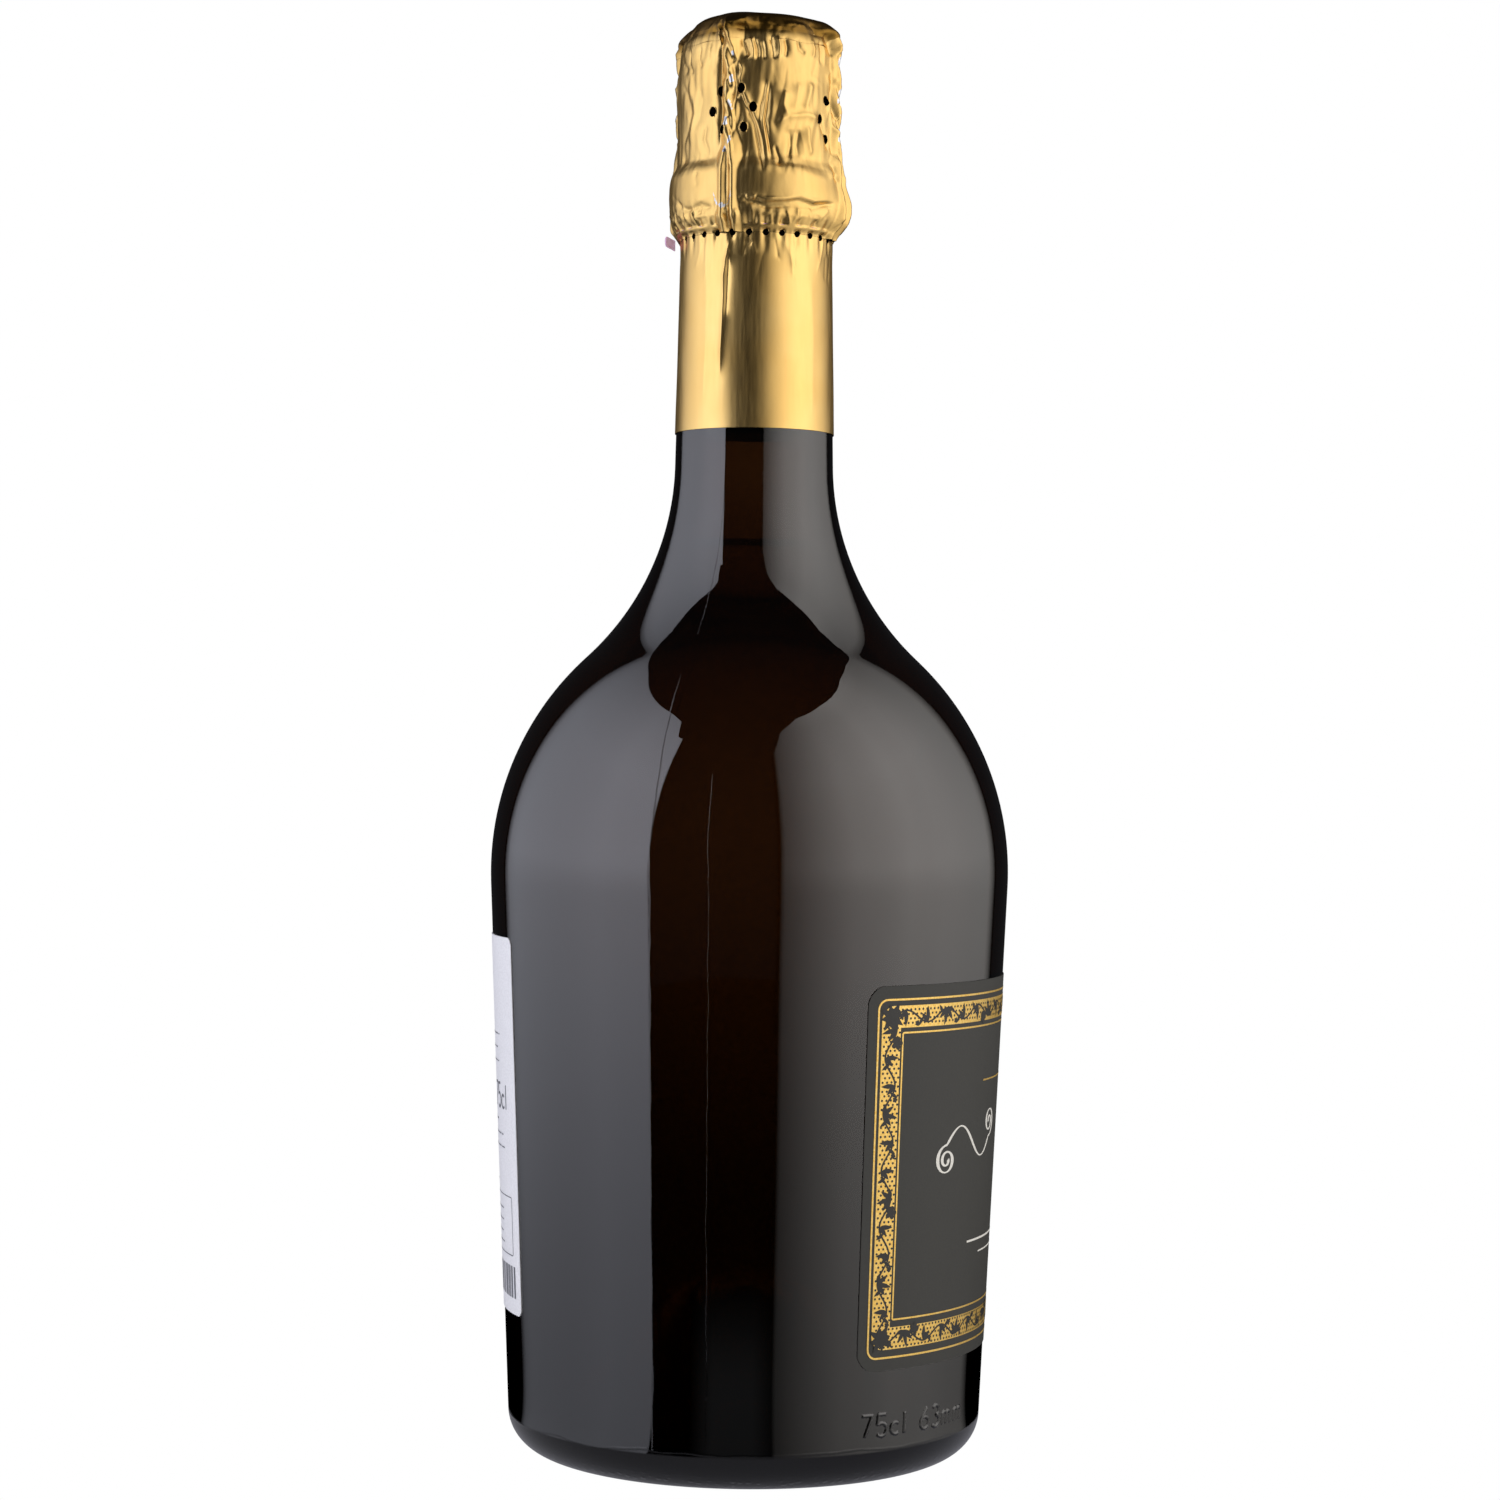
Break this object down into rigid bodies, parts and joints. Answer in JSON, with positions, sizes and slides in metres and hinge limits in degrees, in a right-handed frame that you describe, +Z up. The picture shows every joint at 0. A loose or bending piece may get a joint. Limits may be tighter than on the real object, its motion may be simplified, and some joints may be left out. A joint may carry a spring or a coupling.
{
  "type": "sparkling wine bottle",
  "caption": "Heavy dark glass bottle with a round shoulder, slim neck, hollow base, two paper labels and a mushroom stopper held by a wire cage under a gold foil capsule.",
  "frame": {"origin": "centre of the ring that the bottle stands on", "axes": "+Z up along the bottle's axis towards the stopper, front label facing -Y, back label facing +Y"},
  "size_m": [0.1, 0.1, 0.2752],
  "materials": {
    "bottle": "dark brown green bottle glass, polished",
    "wine": "clear pale gold liquid",
    "cork_body": "ground cork, bound and cut",
    "cork_disc_upper": "natural cork",
    "cork_disc_lower": "natural cork",
    "plaque": "lacquered tinplate, satin",
    "cage_wire": "galvanised wire",
    "belt_wire": "galvanised wire",
    "twist_key": "galvanised wire",
    "capsule_hood": "gold lacquered foil, glossy",
    "capsule_top_disc": "gold lacquered foil, glossy",
    "capsule_skirt": "gold lacquered foil, glossy",
    "tear_tape": "pink film",
    "pull_tab": "pink film",
    "front_label": "charcoal printed paper with gold print",
    "back_label": "white printed paper"
  },
  "bodies": {
    "glass": {"bottle": "bottle", "wine": "wine", "capsule_skirt": "capsule_skirt", "front_label": "front_label", "back_label": "back_label"},
    "stopper": {"cork_body": "cork_body", "cork_disc_upper": "cork_disc_upper", "cork_disc_lower": "cork_disc_lower"},
    "cage": {"plaque": "plaque", "cage_wire": "cage_wire", "belt_wire": "belt_wire"},
    "key": {"twist_key": "twist_key"},
    "hood": {"capsule_hood": "capsule_hood", "capsule_top_disc": "capsule_top_disc", "tear_tape": "tear_tape"},
    "tab": {"pull_tab": "pull_tab"}
  },
  "joints": [
    {"name": "cork_pull", "type": "slide", "parent": "glass", "child": "stopper", "axis": [0, 0, 1], "range_m": [0, 0.035], "deforming": ["cage_wire", "belt_wire"]},
    {"name": "cage_lift", "type": "slide", "parent": "stopper", "child": "cage", "axis": [0, 0, 1], "range_m": [0, 0.045]},
    {"name": "key_fold", "type": "hinge", "parent": "cage", "child": "key", "pos_m": [0.01536, 0.00716, 0.236], "axis": [-0.4226, 0.9063, 0], "range_deg": [0, 100]},
    {"name": "hood_lift", "type": "slide", "parent": "cage", "child": "hood", "axis": [0, 0, 1], "range_m": [0, 0.05], "deforming": ["capsule_hood", "tear_tape"]},
    {"name": "tab_lift", "type": "hinge", "parent": "hood", "child": "tab", "pos_m": [0.00426, 0.01588, 0.2327], "axis": [0, 0, -1], "range_deg": [0, 80]}
  ],
  "couplings": [
    {"joint": "key_fold", "follows": "hood_lift", "rad_per_m": 34.9}
  ]
}
